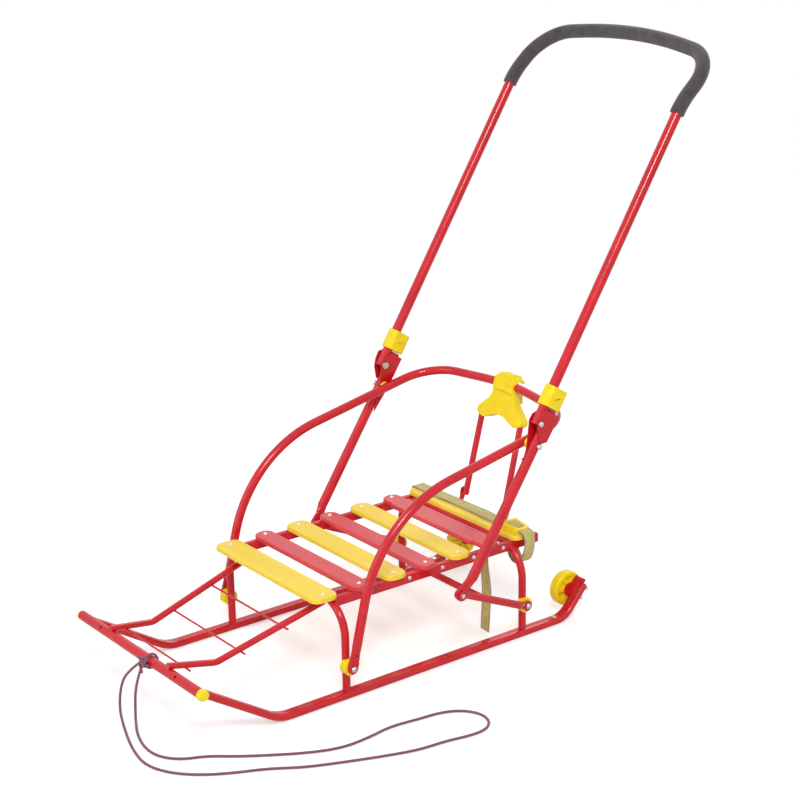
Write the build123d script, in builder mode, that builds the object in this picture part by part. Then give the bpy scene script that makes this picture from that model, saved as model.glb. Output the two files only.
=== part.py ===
"""Folding push sled for a small child, in millimetres.

+X is the way the sled travels, +Y its left side, +Z up, floor at zero.
"""

import os
from math import atan2, cos, degrees, pi, radians, sin, tan

from build123d import *

os.makedirs("parts", exist_ok=True)

# Running clearances and fits shared by several pieces
pin_clearance = 0.05
seat_fit = 0.3
side_gap = 0.5

# Tube sizes, as radius
runner_width = 20
runner_height = 11
crossbar_radius = 7.5
leg_radius = 6
arm_radius = 7
push_radius = 7.8
pole_radius = 8
link_radius = 6
strut_radius = 5
footrest_radius = 5
rung_radius = 1.5
bolt_radius = 3

# Places across the sled
runner_y = 155
arm_y = 172.5
link_y = 176
pole_y = 194.5
rail_y = 128
strut_foot_y = 49

# Places along the sled
crossbar_x = 481.5
front_leg_x = 228
rear_leg_x = -111
rail_rear_x = -163

# Heights
crossbar_z = 90
seat_top = 158.5
slat_thickness = 7
rail_bottom = 136
arch_top_z = 145.4

# Pivots of the folding frame, as X and Z
arm_pivot = (front_leg_x, 52.3)
link_pivot = (rear_leg_x, 53.7)
push_lean = 56
pole_lean = 57.3
lower_pin = (37.9, 120.8)
upper_pin_run = 250
handle_pin_run = 281
pole_offset = 16.8


def along(start, angle, run, side=0):
    """Point at a run along a leaning line, and to its front by side."""
    lean = radians(angle)
    x = start[0] - run * cos(lean) + side * sin(lean)
    z = start[1] + run * sin(lean) + side * cos(lean)
    return (x, z)


corner_pin = along(lower_pin, push_lean, upper_pin_run)
handle_pin = along(lower_pin, push_lean, handle_pin_run, pole_offset)


def save(piece, name):
    piece.part.label = name
    export_step(piece.part, f"parts/{name}.step")


def lateral(x, z, y):
    """Sketch plane facing out along +Y at a place on the side."""
    return Plane(origin=(x, y, z), x_dir=(1, 0, 0), z_dir=(0, 1, 0))


# Runners, flat oval tube turned up at both ends
ramp_slope = 32.5
ramp_foot_x = crossbar_x - (crossbar_z - runner_height / 2) / tan(radians(ramp_slope))
tail_slope = 48
tail_foot_x = -196
tail_run = 61
tail_end = (tail_foot_x - tail_run * cos(radians(tail_slope)),
            runner_height / 2 + tail_run * sin(radians(tail_slope)))
for side, name in ((1, "runner_left"), (-1, "runner_right")):
    y = side * runner_y
    with BuildPart() as runner:
        with BuildLine() as route:
            FilletPolyline(
                (tail_end[0], y, tail_end[1]),
                (tail_foot_x, y, runner_height / 2),
                (ramp_foot_x, y, runner_height / 2),
                (crossbar_x, y, crossbar_z),
                radius=[40, 70],
            )
        with BuildSketch(Plane(route.line @ 0, x_dir=(0, 1, 0), z_dir=route.line % 0)):
            SlotOverall(runner_width, runner_height)
        sweep()
        with Locations(Pos(crossbar_x, y, crossbar_z)):
            Cylinder(crossbar_radius, runner_width * 3, rotation=(90, 0, 0), mode=Mode.SUBTRACT)
        with Locations(Pos(crossbar_x + 20, y, crossbar_z)):
            Box(40, 40, 40, mode=Mode.SUBTRACT)
    save(runner, name)

# Front crossbar with its rope and footrest holes
crossbar_half = 172
tow_hole_y = 106
with BuildPart() as crossbar:
    with Locations(Pos(crossbar_x, 0, crossbar_z)):
        Cylinder(crossbar_radius, 2 * crossbar_half, rotation=(90, 0, 0))
    with Locations(*[Pos(crossbar_x, s * tow_hole_y, crossbar_z) for s in (-1, 1)]):
        Cylinder(2.5, 40, rotation=(0, 45, 0), mode=Mode.SUBTRACT)
save(crossbar, "crossbar")

# Ends of the crossbar: a domed plastic cap over the left one, a flush plug in the right one
caps = (
    # name, side, cover over the bar, radius
    ("crossbar_cap_left", 1, 5, crossbar_radius + 1),
    ("crossbar_cap_right", -1, 0, crossbar_radius),
)
for name, side, cover, radius in caps:
    with BuildPart() as cap:
        with BuildSketch(lateral(crossbar_x, crossbar_z, side * (crossbar_half - cover))):
            Circle(radius)
        extrude(amount=side * (cover + 4))
        fillet(cap.edges().filter_by(GeomType.CIRCLE).sort_by(Axis.Y)[-1 if side > 0 else 0], 3)
        if cover:
            with BuildSketch(lateral(crossbar_x, crossbar_z, side * (crossbar_half - cover))):
                Circle(crossbar_radius)
            extrude(amount=side * cover, mode=Mode.SUBTRACT)
    save(cap, name)

# Leg arches: name, X place
arch_bend = 50
leg_foot_z = runner_height
arches = []
for name, x in (("front_leg_arch", front_leg_x), ("rear_leg_arch", rear_leg_x)):
    with BuildPart() as arch:
        with BuildLine() as route:
            FilletPolyline(
                (x, -runner_y, leg_foot_z), (x, -runner_y, arch_top_z),
                (x, runner_y, arch_top_z), (x, runner_y, leg_foot_z),
                radius=arch_bend,
            )
        with BuildSketch(Plane(route.line @ 0, z_dir=route.line % 0)):
            Circle(leg_radius)
        sweep()
    save(arch, name)
    arches.append(arch.part)

# Side rails under the slats, coped over the arches
rail_front_x = front_leg_x
rail_width = 9
rail_top = seat_top - slat_thickness
for side, name in ((1, "seat_rail_left"), (-1, "seat_rail_right")):
    with BuildPart() as rail:
        with BuildSketch(Plane.XY.offset(rail_bottom)):
            with Locations(((rail_front_x + rail_rear_x) / 2, side * rail_y)):
                Rectangle(rail_front_x - rail_rear_x, rail_width)
        extrude(amount=rail_top - rail_bottom)
        fillet(rail.edges().filter_by(Axis.X), 2)
        for crossing in arches:
            add(crossing, mode=Mode.SUBTRACT)
    save(rail, name)

# Slats: rounded boards over both rails, front one first. The sixth is waisted near its ends.
slats = (
    # rear edge, front edge, half length, width of the end lobes
    (223, 267, 138.5, 0),
    (163.5, 195, 138.5, 0),
    (96.5, 135, 138.5, 0),
    (39.5, 71, 138.5, 0),
    (-25.5, 11, 138.5, 0),
    (-88, -50, 136, 31),
    (-152, -110, 138.5, 0),
)
slat_corner = 14
lobe_neck = 104
for number, (rear, front, half, lobe) in enumerate(slats, 1):
    with BuildPart() as slat:
        with BuildSketch(Plane.XY.offset(rail_top)) as board:
            with Locations(((rear + front) / 2, 0)):
                if lobe:
                    RectangleRounded(front - rear, 2 * lobe_neck, 3)
                    RectangleRounded(lobe, 2 * half, slat_corner)
                else:
                    RectangleRounded(front - rear, 2 * half, slat_corner)
        extrude(amount=slat_thickness)
        chamfer(slat.faces().sort_by(Axis.Z)[-1].edges(), 1.5)
    save(slat, f"slat_{number}")

# Footrest rods: from under the front slat down, then up onto the crossbar
rod_rear = (front_leg_x + 1, 103.5, 136)
rod_bend = (crossbar_x - 73.5, 89, 87)
rod_front = (crossbar_x + 2, 81, crossbar_z + crossbar_radius + footrest_radius - 1.2)
for side, name in ((1, "footrest_rod_left"), (-1, "footrest_rod_right")):
    with BuildPart() as rod:
        with BuildLine() as route:
            FilletPolyline(*[(px, side * py, pz) for px, py, pz in (rod_rear, rod_bend, rod_front)],
                           radius=22)
        with BuildSketch(Plane(route.line @ 0, z_dir=route.line % 0)):
            Circle(footrest_radius)
        sweep()
        with Locations(Pos(crossbar_x, 0, crossbar_z)):
            Cylinder(crossbar_radius, 300, rotation=(90, 0, 0), mode=Mode.SUBTRACT)
        add(arches[0], mode=Mode.SUBTRACT)
    save(rod, name)

# Footrest rungs laid under the rods: share of the way down the slope, overhang
rungs = (("footrest_rung_1", 0.39), ("footrest_rung_2", 0.79))
for name, share in rungs:
    x, y, z = [a + (b - a) * share for a, b in zip(rod_rear, rod_bend)]
    with BuildPart() as rung:
        with Locations(Pos(x - 3.4, 0, z - 5.4)):
            Cylinder(rung_radius, 2 * (y + 9), rotation=(90, 0, 0))
        add(rod.part, mode=Mode.SUBTRACT)
        add(rod.part.mirror(Plane.XZ), mode=Mode.SUBTRACT)
    save(rung, name)
x, y, z = [a + (b - a) * 0.6 for a, b in zip(rod_bend, rod_front)]
with BuildPart() as rung:
    with Locations(Pos(x + 1, 0, z - 6.2)):
        Cylinder(rung_radius, 2 * (y + 9), rotation=(90, 0, 0))
    add(rod.part, mode=Mode.SUBTRACT)
    add(rod.part.mirror(Plane.XZ), mode=Mode.SUBTRACT)
save(rung, "footrest_rung_3")

# Saddle washers between the legs and what turns on them
leg_face_y = runner_y + leg_radius
arm_foot_thickness = 5
saddle_radius = 12
saddles = (
    # name, X, Z, side, outer face Y
    ("arm_saddle_left", arm_pivot, 1, arm_y - arm_foot_thickness / 2 - side_gap),
    ("arm_saddle_right", arm_pivot, -1, arm_y - arm_foot_thickness / 2 - side_gap),
    ("link_saddle_left", link_pivot, 1, 165),
    ("link_saddle_right", link_pivot, -1, 165),
)
for name, (x, z), side, face in saddles:
    with BuildPart() as saddle:
        with BuildSketch(lateral(x, z, side * (runner_y + 1))):
            Circle(saddle_radius)
        extrude(amount=side * (face - runner_y - 1))
        with Locations(Pos(x, side * runner_y, z)):
            Cylinder(leg_radius, 40, mode=Mode.SUBTRACT)
        with Locations(Pos(x, side * runner_y, z)):
            Cylinder(bolt_radius, 60, rotation=(90, 0, 0), mode=Mode.SUBTRACT)
    save(saddle, name)

# Bolts through the four leg pivots
with BuildPart() as leg_bolts:
    for (x, z), face in ((arm_pivot, arm_y + arm_foot_thickness / 2), (link_pivot, 169.5)):
        for side in (1, -1):
            with BuildSketch(lateral(x, z, side * (runner_y + leg_radius))):
                Circle(bolt_radius)
            extrude(amount=side * (face + side_gap - leg_face_y))
            with BuildSketch(lateral(x, z, side * (face + side_gap))):
                Circle(5.5)
            extrude(amount=side * 3)
save(leg_bolts, "leg_pivot_bolts")

# Back frame: both arms and the curved back rail in one bent tube, each arm's foot
# flattened to an eye with a spare hole above it
arm_foot_width = 16
arm_neck_run = 32
arm_crest = (173, 275)
arm_run = ((arm_crest[0] - arm_pivot[0]) ** 2 + (arm_crest[1] - arm_pivot[1]) ** 2) ** 0.5
arm_dir = ((arm_crest[0] - arm_pivot[0]) / arm_run, (arm_crest[1] - arm_pivot[1]) / arm_run)


def on_arm(run):
    return (arm_pivot[0] + run * arm_dir[0], arm_pivot[1] + run * arm_dir[1])


arm_neck = on_arm(arm_neck_run)
arm_route = (
    # X, Y, Z, bend radius at the point
    (arm_neck[0], arm_y, arm_neck[1], 0),
    (arm_crest[0], arm_y, arm_crest[1], 205),
    (-191.4, arm_y, 348, 68),
    (-218, 0, 353.3, 400),
    (-191.4, -arm_y, 348, 68),
    (arm_crest[0], -arm_y, arm_crest[1], 205),
    (arm_neck[0], -arm_y, arm_neck[1], 0),
)
with BuildPart() as back_frame:
    with BuildLine() as route:
        FilletPolyline(*[row[:3] for row in arm_route], radius=[row[3] for row in arm_route[1:-1]])
    with BuildSketch(Plane(route.line @ 0, z_dir=route.line % 0)):
        Circle(arm_radius)
    sweep()
    for side in (1, -1):
        low, high, eye = [on_arm(run) for run in (13, arm_neck_run, 4)]
        with BuildSketch(Plane(origin=(low[0], side * arm_y, low[1]), x_dir=(0, 1, 0),
                               z_dir=(arm_dir[0], 0, arm_dir[1]))):
            RectangleRounded(arm_foot_thickness, arm_foot_width, 1)
        with BuildSketch(Plane(origin=(high[0], side * arm_y, high[1]), x_dir=(0, 1, 0),
                               z_dir=(arm_dir[0], 0, arm_dir[1]))):
            Circle(arm_radius)
        loft()
        with BuildSketch(Plane(origin=(eye[0], side * arm_y - arm_foot_thickness / 2, eye[1]),
                               x_dir=(arm_dir[0], 0, arm_dir[1]), z_dir=(0, 1, 0))):
            SlotOverall(8 + arm_foot_width, arm_foot_width)
        extrude(amount=arm_foot_thickness)
        for run, radius in ((0, bolt_radius + pin_clearance), (21, 1.8)):
            x, z = on_arm(run)
            with Locations(Pos(x, side * arm_y, z)):
                Cylinder(radius, 40, rotation=(90, 0, 0), mode=Mode.SUBTRACT)
save(back_frame, "back_frame_tube")

# Spacers and bolts at the upper corners, fixed to the back frame
cheek_inner = pole_radius + side_gap
cheek_outer = cheek_inner + 2
spacer_inner_y = arm_y + arm_radius - 1
spacer_outer_y = pole_y - cheek_outer - side_gap
for side, name in ((1, "corner_spacer_left"), (-1, "corner_spacer_right")):
    with BuildPart() as spacer:
        with BuildSketch(lateral(*corner_pin, side * spacer_inner_y)):
            Circle(8)
            Circle(bolt_radius, mode=Mode.SUBTRACT)
        extrude(amount=side * (spacer_outer_y - spacer_inner_y))
        add(back_frame.part, mode=Mode.SUBTRACT)
    save(spacer, name)
with BuildPart() as corner_bolts:
    for side in (1, -1):
        with BuildSketch(lateral(*corner_pin, side * (arm_y + arm_radius - 0.5))):
            Circle(bolt_radius)
        extrude(amount=side * (pole_y + cheek_outer + side_gap - arm_y - arm_radius + 0.5))
        with BuildSketch(lateral(*corner_pin, side * (pole_y + cheek_outer + side_gap))):
            Circle(5.5)
        extrude(amount=side * 3)
    add(back_frame.part, mode=Mode.SUBTRACT)
save(corner_bolts, "corner_bolts")

# Lower push bars, running up behind the poles, each foot flattened to an eye.
# The eye's hole is wide on its bolt: the linkage closes here.
bar_top_run = handle_pin_run + 26.5
foot_eye_radius = 9
foot_eye_thickness = 5
foot_eye_slack = 3
foot_eye_y = pole_y - push_radius + foot_eye_thickness / 2
flat_run = 13
round_run = 30
bar_dir = (-cos(radians(push_lean)), sin(radians(push_lean)))
bars = {}
for side, name in ((1, "push_bar_left"), (-1, "push_bar_right")):
    ends = []
    for run, y in ((flat_run, foot_eye_y), (round_run, pole_y), (bar_top_run, pole_y)):
        x, z = along(lower_pin, push_lean, run)
        ends.append(Plane(origin=(x, side * y, z), x_dir=(0, 1, 0), z_dir=(bar_dir[0], 0, bar_dir[1])))
    flat, neck, top = ends
    with BuildPart() as bar:
        with BuildSketch(flat):
            RectangleRounded(foot_eye_thickness, 2 * foot_eye_radius - 2, 1)
        with BuildSketch(neck):
            Circle(push_radius)
        loft()
        with BuildSketch(neck):
            Circle(push_radius)
        extrude(amount=bar_top_run - round_run)
        eye = along(lower_pin, push_lean, 4)
        with BuildSketch(Plane(origin=(eye[0], side * foot_eye_y - foot_eye_thickness / 2, eye[1]),
                               x_dir=(bar_dir[0], 0, bar_dir[1]), z_dir=(0, 1, 0))):
            SlotOverall(8 + 2 * foot_eye_radius, 2 * foot_eye_radius)
        extrude(amount=foot_eye_thickness)
        with Locations(Pos(lower_pin[0], side * pole_y, lower_pin[1])):
            Cylinder(bolt_radius + foot_eye_slack, 60, rotation=(90, 0, 0), mode=Mode.SUBTRACT)
        with Locations(Pos(corner_pin[0], side * pole_y, corner_pin[1])):
            Cylinder(bolt_radius + pin_clearance, 60, rotation=(90, 0, 0), mode=Mode.SUBTRACT)
    save(bar, name)
    bars[side] = bar.part

# Hinge brackets: a channel wrapped round the back of the bar, its two cheeks reaching
# forward to the pole's pivot. The inner cheek runs further down and is riveted there.
cheek_wall = 2
cheek_middle = cheek_inner + cheek_wall / 2
outer_cheek = (
    # run along the bar, reach to its front
    (256, -2), (262, -9.8), (304, -9.8), (304, 20), (299, 26),
    (286, 25), (273, 20), (258, 6),
)
inner_cheek = (
    (205, -5), (252, -9.8), (304, -9.8), (304, 14), (291, 24),
    (282, 24.5), (268, 18), (243, 5), (219, -1),
)
channel_web = ((262, -7.8), (304, -7.8), (304, -9.8), (262, -9.8))
for side, name in ((1, "hinge_bracket_left"), (-1, "hinge_bracket_right")):
    with BuildPart() as bracket:
        for outline, middle, wall in ((outer_cheek, cheek_middle, cheek_wall),
                                      (inner_cheek, -cheek_middle, cheek_wall),
                                      (channel_web, 0, 2 * cheek_outer)):
            with BuildSketch(Plane.XZ.offset(wall / 2 - side * (pole_y + middle))):
                with BuildLine():
                    Polyline(*[along(lower_pin, push_lean, run, reach)
                               for run, reach in outline], close=True)
                make_face()
            extrude(amount=-wall)
        rivet = along(lower_pin, push_lean, 224)
        with Locations(Pos(rivet[0], side * (pole_y - cheek_inner), rivet[1])):
            Cylinder(2.2, 6, rotation=(90, 0, 0))
        add(bars[side], mode=Mode.SUBTRACT)
        with Locations(Pos(handle_pin[0], side * pole_y, handle_pin[1])):
            Cylinder(bolt_radius, 60, rotation=(90, 0, 0), mode=Mode.SUBTRACT)
        with Locations(Pos(corner_pin[0], side * pole_y, corner_pin[1])):
            Cylinder(bolt_radius + pin_clearance, 60, rotation=(90, 0, 0), mode=Mode.SUBTRACT)
    save(bracket, name)
with BuildPart() as handle_bolts:
    for side in (1, -1):
        with Locations(Pos(handle_pin[0], side * pole_y, handle_pin[1])):
            Cylinder(bolt_radius, 2 * cheek_outer, rotation=(90, 0, 0))
        for face in (1, -1):
            with Locations(Pos(handle_pin[0], side * pole_y + face * (cheek_outer + 1.3),
                               handle_pin[1])):
                Cylinder(5.5, 2.6, rotation=(90, 0, 0))
save(handle_bolts, "handle_hinge_bolts")

# Links from the rear legs to the push bars' feet, with the tube that joins them
link_angle = degrees(atan2(lower_pin[1] - link_pivot[1], lower_pin[0] - link_pivot[0]))
link_length = ((lower_pin[0] - link_pivot[0]) ** 2 + (lower_pin[1] - link_pivot[1]) ** 2) ** 0.5
eye_radius = 8
eye_thickness = 4
front_eye_y = pole_y - push_radius - side_gap - eye_thickness / 2
rear_eye_y = 165 + side_gap + eye_thickness / 2
cross_share = 0.655
cross_x = link_pivot[0] + (lower_pin[0] - link_pivot[0]) * cross_share
cross_z = link_pivot[1] + (lower_pin[1] - link_pivot[1]) * cross_share
ux, uz = cos(radians(link_angle)), sin(radians(link_angle))
for side, name in ((1, "link_left"), (-1, "link_right")):
    with BuildPart() as link:
        for (px, pz), eye_y, step in ((link_pivot, rear_eye_y, 1), (lower_pin, front_eye_y, -1)):
            with BuildSketch(lateral(px, pz, side * eye_y - eye_thickness / 2)):
                Circle(eye_radius)
            extrude(amount=eye_thickness)
            near = Plane(origin=(px + step * 6 * ux, side * eye_y, pz + step * 6 * uz),
                         x_dir=(0, 1, 0), z_dir=(step * ux, 0, step * uz))
            far = Plane(origin=(px + step * 26 * ux, side * link_y, pz + step * 26 * uz),
                        x_dir=(0, 1, 0), z_dir=(step * ux, 0, step * uz))
            with BuildSketch(near):
                Rectangle(eye_thickness, 12)
            with BuildSketch(far):
                Circle(link_radius)
            loft()
        mid_a = (link_pivot[0] + 26 * ux, side * link_y, link_pivot[1] + 26 * uz)
        mid_b = (lower_pin[0] - 26 * ux, side * link_y, lower_pin[1] - 26 * uz)
        with BuildLine() as route:
            Line(mid_a, mid_b)
        with BuildSketch(Plane(route.line @ 0, z_dir=route.line % 0)):
            Circle(link_radius)
        sweep()
        for (px, pz), fit in ((link_pivot, pin_clearance), (lower_pin, 0)):
            with Locations(Pos(px, side * link_y, pz)):
                Cylinder(bolt_radius + fit, 60, rotation=(90, 0, 0), mode=Mode.SUBTRACT)
    save(link, name)
with BuildPart() as cross_tube:
    with Locations(Pos(cross_x, 0, cross_z)):
        Cylinder(link_radius - 0.5, 2 * (link_y - link_radius + 1.5), rotation=(90, 0, 0))
    with Locations(*[Pos(cross_x, s * link_y, cross_z) for s in (1, -1)]):
        Cylinder(link_radius, 60, rotation=(0, 90 - link_angle, 0), mode=Mode.SUBTRACT)
save(cross_tube, "link_cross_tube")
with BuildPart() as lower_bolts:
    for side in (1, -1):
        inner = front_eye_y - eye_thickness / 2
        outer = foot_eye_y + foot_eye_thickness / 2 + side_gap
        with BuildSketch(lateral(*lower_pin, side * inner)):
            Circle(bolt_radius)
        extrude(amount=side * (outer - inner))
        with BuildSketch(lateral(*lower_pin, side * outer)):
            Circle(8)
        extrude(amount=side * 2)
        with BuildSketch(lateral(*lower_pin, side * (outer + 2))):
            Circle(3.7)
        extrude(amount=side * 1.5)
        with BuildSketch(lateral(*lower_pin, side * inner)):
            Circle(5)
        extrude(amount=-side * 2.5)
save(lower_bolts, "lower_pin_bolts")

# Strut hinge: cross member behind the last slat with two tabs
strut_foot = (-165.5, 168)
cross_member_x = rail_rear_x + 4
with BuildPart() as strut_hinge:
    with BuildSketch(Plane.XZ.offset(-rail_y + rail_width / 2)):
        with Locations((cross_member_x, rail_bottom + 8)):
            RectangleRounded(7, 13, 2)
    extrude(amount=2 * rail_y - rail_width)
    for side in (1, -1):
        with BuildSketch(Plane.XZ.offset(-side * (strut_foot_y + strut_radius + side_gap))):
            with Locations(strut_foot):
                Circle(6)
            with BuildLine():
                Polyline((strut_foot[0] + 6, strut_foot[1]), (strut_foot[0] - 6, strut_foot[1]),
                         (cross_member_x - 3.5, rail_bottom + 12),
                         (cross_member_x + 3.5, rail_bottom + 6), close=True)
            make_face()
        extrude(amount=-side * 2.5)
        with BuildSketch(lateral(*strut_foot, side * (strut_foot_y - strut_radius - 1))):
            Circle(2)
        extrude(amount=side * (2 * strut_radius + 4))
save(strut_hinge, "strut_hinge")

# Strut: inverted U that props the back rail
strut_top = (-213.3, 352.4)
lean_x = strut_top[0] - strut_foot[0]
lean_z = strut_top[1] - strut_foot[1]
strut_run = (lean_x ** 2 + lean_z ** 2) ** 0.5
vx, vz = lean_x / strut_run, lean_z / strut_run
strut_shoulder_run = strut_run - 38
strut_shoulder_y = 47
with BuildPart() as strut:
    with BuildLine() as route:
        FilletPolyline(
            (strut_foot[0] - 6 * vx, -strut_foot_y, strut_foot[1] - 6 * vz),
            (strut_foot[0] + vx * strut_shoulder_run, -strut_shoulder_y,
             strut_foot[1] + vz * strut_shoulder_run),
            (strut_foot[0] + vx * strut_shoulder_run, strut_shoulder_y,
             strut_foot[1] + vz * strut_shoulder_run),
            (strut_foot[0] - 6 * vx, strut_foot_y, strut_foot[1] - 6 * vz),
            radius=24,
        )
    with BuildSketch(Plane(route.line @ 0, z_dir=route.line % 0)):
        Circle(strut_radius)
    sweep()
    for side in (1, -1):
        with Locations(Pos(strut_foot[0], side * strut_foot_y, strut_foot[1])):
            Cylinder(2 + pin_clearance, 30, rotation=(90, 0, 0), mode=Mode.SUBTRACT)
save(strut, "strut_tube")

# Catch on the strut's head, a hook open to the rear round the back rail
leave_angle = radians(217)
catch_half_outline = (
    # half width, height above the rail's centre
    (25, 21),
    (34, 10),
    (37.5, -19),
    (41, -37),
    (54, -49),
    (52, -58),
    (35, -61),
    (20, -54),
)
with BuildPart() as catch:
    head = Plane(origin=(strut_top[0], 0, strut_top[1]), x_dir=(0, 1, 0), z_dir=(vz, 0, -vx))
    with BuildSketch(head.offset(-10)):
        with BuildLine():
            left = Polyline(*catch_half_outline)
            right = Polyline(*[(-width, height) for width, height in catch_half_outline])
            Line(left @ 0, right @ 0)
            RadiusArc(left @ 1, right @ 1, -81)
        make_face()
    extrude(amount=18)
    with BuildSketch(head.offset(-15)):
        with Locations((0, 3)):
            RectangleRounded(52, 36, 6)
    extrude(amount=27)
    fillet(catch.edges().filter_by(GeomType.LINE).sort_by(Axis.Z)[-2:], 3)
    with BuildSketch(head.offset(8)):
        with Locations((0, -20)):
            SlotOverall(27, 4)
    extrude(amount=-5, mode=Mode.SUBTRACT)
    leave = Plane(origin=(strut_top[0], 0, strut_top[1]), x_dir=(cos(leave_angle), 0, sin(leave_angle)),
                  z_dir=(0, -1, 0))
    with BuildSketch(leave.offset(-60)):
        with Locations((30, 0)):
            SlotOverall(60 + 2 * (arm_radius + seat_fit), 2 * (arm_radius + seat_fit))
    extrude(amount=120, mode=Mode.SUBTRACT)
    add(back_frame.part, mode=Mode.SUBTRACT)
    add(strut.part, mode=Mode.SUBTRACT)
save(catch, "strut_catch")

# Push handle: one tube, straight poles bent back below the grip, and a rounded cross piece
pole_dir = (-cos(radians(pole_lean)), sin(radians(pole_lean)))
grip_start_run = 512
handle_bend_run = 533
handle_bend_radius = 135
top_lean = pole_lean - 16.5
shoulder_reach = 89.5
crown_reach = 122.8
shoulder_radius = 68


def on_pole(run, y):
    x, z = along(handle_pin, pole_lean, run)
    return (x, y, z)


def on_top(run, y):
    x, z = along(along(handle_pin, pole_lean, handle_bend_run), top_lean, run)
    return (x, y, z)


bend_points = (
    # place, bend radius
    (on_pole(handle_bend_run, pole_y), handle_bend_radius),
    (on_top(shoulder_reach, pole_y), shoulder_radius),
    (on_top(crown_reach, 0), 700),
    (on_top(shoulder_reach, -pole_y), shoulder_radius),
    (on_pole(handle_bend_run, -pole_y), handle_bend_radius),
)
with BuildPart() as handle_tube:
    with BuildLine() as route:
        FilletPolyline(on_pole(-3, pole_y), *[place for place, bend in bend_points],
                       on_pole(-3, -pole_y), radius=[bend for place, bend in bend_points])
    with BuildSketch(Plane(route.line @ 0, z_dir=route.line % 0)):
        Circle(pole_radius)
    sweep()
    for side in (1, -1):
        with Locations(Pos(handle_pin[0], side * pole_y, handle_pin[1])):
            Cylinder(bolt_radius + pin_clearance, 60, rotation=(90, 0, 0), mode=Mode.SUBTRACT)
save(handle_tube, "handle_tube")

# Foam grip over the handle's top
grip_radius = 11.3
with BuildPart() as grip:
    with BuildLine() as route:
        FilletPolyline(on_pole(grip_start_run, pole_y), *[place for place, bend in bend_points],
                       on_pole(grip_start_run, -pole_y), radius=[bend for place, bend in bend_points])
    with BuildSketch(Plane(route.line @ 0, z_dir=route.line % 0)):
        Circle(grip_radius)
        Circle(pole_radius, mode=Mode.SUBTRACT)
    sweep()
save(grip, "grip")

# Locking sleeves low on the poles, over the tops of the push bars
sleeve_run = 27.5
sleeve_height = 34
for side, name in ((1, "lock_sleeve_left"), (-1, "lock_sleeve_right")):
    low = along(handle_pin, pole_lean, sleeve_run, -pole_offset / 2)
    with BuildPart() as sleeve:
        with BuildSketch(Plane(origin=(low[0], side * pole_y, low[1]), x_dir=(0, 1, 0),
                               z_dir=(pole_dir[0], 0, pole_dir[1]))):
            RectangleRounded(24, 40, 8)
        extrude(amount=sleeve_height)
        fillet(sleeve.faces().sort_by(Axis.Z)[-1].edges(), 1.5)
        pole_place = along(handle_pin, pole_lean, sleeve_run + sleeve_height / 2)
        with Locations(Plane(origin=(pole_place[0], side * pole_y, pole_place[1]), x_dir=(0, 1, 0),
                             z_dir=(pole_dir[0], 0, pole_dir[1]))):
            Cylinder(pole_radius, 3 * sleeve_height, mode=Mode.SUBTRACT)
    save(sleeve, name)

# Rear wheels and the brackets that carry them
wheel_radius = 28
wheel_width = 16
wheel_y = 132
wheel_centre = (-222, 42)
rim_radius = 22
hub_radius = 9
web_depth = 5
spoke_count = 6
axle_radius = 4
tail_dir = (-cos(radians(tail_slope)), sin(radians(tail_slope)))
tail_plane = Plane(origin=(tail_foot_x, 0, runner_height / 2), x_dir=(0, 1, 0),
                   z_dir=(tail_dir[1], 0, -tail_dir[0]))
for side, letter in ((1, "left"), (-1, "right")):
    with BuildPart() as wheel:
        with Locations(Pos(wheel_centre[0], side * wheel_y, wheel_centre[1])):
            Cylinder(wheel_radius, wheel_width, rotation=(90, 0, 0))
        fillet(wheel.edges().filter_by(GeomType.CIRCLE), 3)
        for face in (1, -1):
            with BuildSketch(Plane.XZ.offset(-side * wheel_y - face * wheel_width / 2)):
                with Locations(wheel_centre):
                    Circle(rim_radius)
                    Circle(hub_radius, mode=Mode.SUBTRACT)
                    with PolarLocations((rim_radius + hub_radius) / 2, spoke_count):
                        Rectangle(rim_radius, 3.5, mode=Mode.SUBTRACT)
            extrude(amount=face * web_depth, mode=Mode.SUBTRACT)
        with Locations(Pos(wheel_centre[0], side * wheel_y, wheel_centre[1])):
            Cylinder(axle_radius + pin_clearance, 60, rotation=(90, 0, 0), mode=Mode.SUBTRACT)
    save(wheel, f"wheel_{letter}")

# Axle brackets bolted across the runners' tails from above, each with its stub axle
bracket_run = 52
bracket_plate = 3
for side, letter in ((1, "left"), (-1, "right")):
    tab_y = wheel_y + wheel_width / 2 + 1
    with BuildPart() as bracket:
        with BuildSketch(tail_plane.offset(runner_height / 2)):
            with Locations((side * (tab_y + runner_y + 8) / 2, bracket_run)):
                Rectangle(runner_y + 8 - tab_y, 34)
        extrude(amount=bracket_plate)
        with BuildSketch(lateral(*wheel_centre, side * tab_y)):
            Circle(11)
        extrude(amount=side * bracket_plate)
        with BuildSketch(lateral(*wheel_centre, side * tab_y)):
            Circle(axle_radius)
        extrude(amount=-side * (wheel_width + 2.5))
        with BuildSketch(lateral(*wheel_centre, side * (tab_y - wheel_width - 2))):
            Circle(6.5)
        extrude(amount=-side * 3)
    save(bracket, f"wheel_bracket_{letter}")
with BuildPart() as tail_bolts:
    for side in (1, -1):
        for run in (bracket_run - 9, bracket_run + 8):
            with BuildSketch(tail_plane.offset(-runner_height / 2)):
                with Locations((side * runner_y, run)):
                    Circle(3)
            extrude(amount=-9)
            with BuildSketch(tail_plane.offset(-runner_height / 2)):
                with Locations((side * runner_y, run)):
                    RegularPolygon(5, 6)
            extrude(amount=-4)
save(tail_bolts, "tail_bolts")

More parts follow.
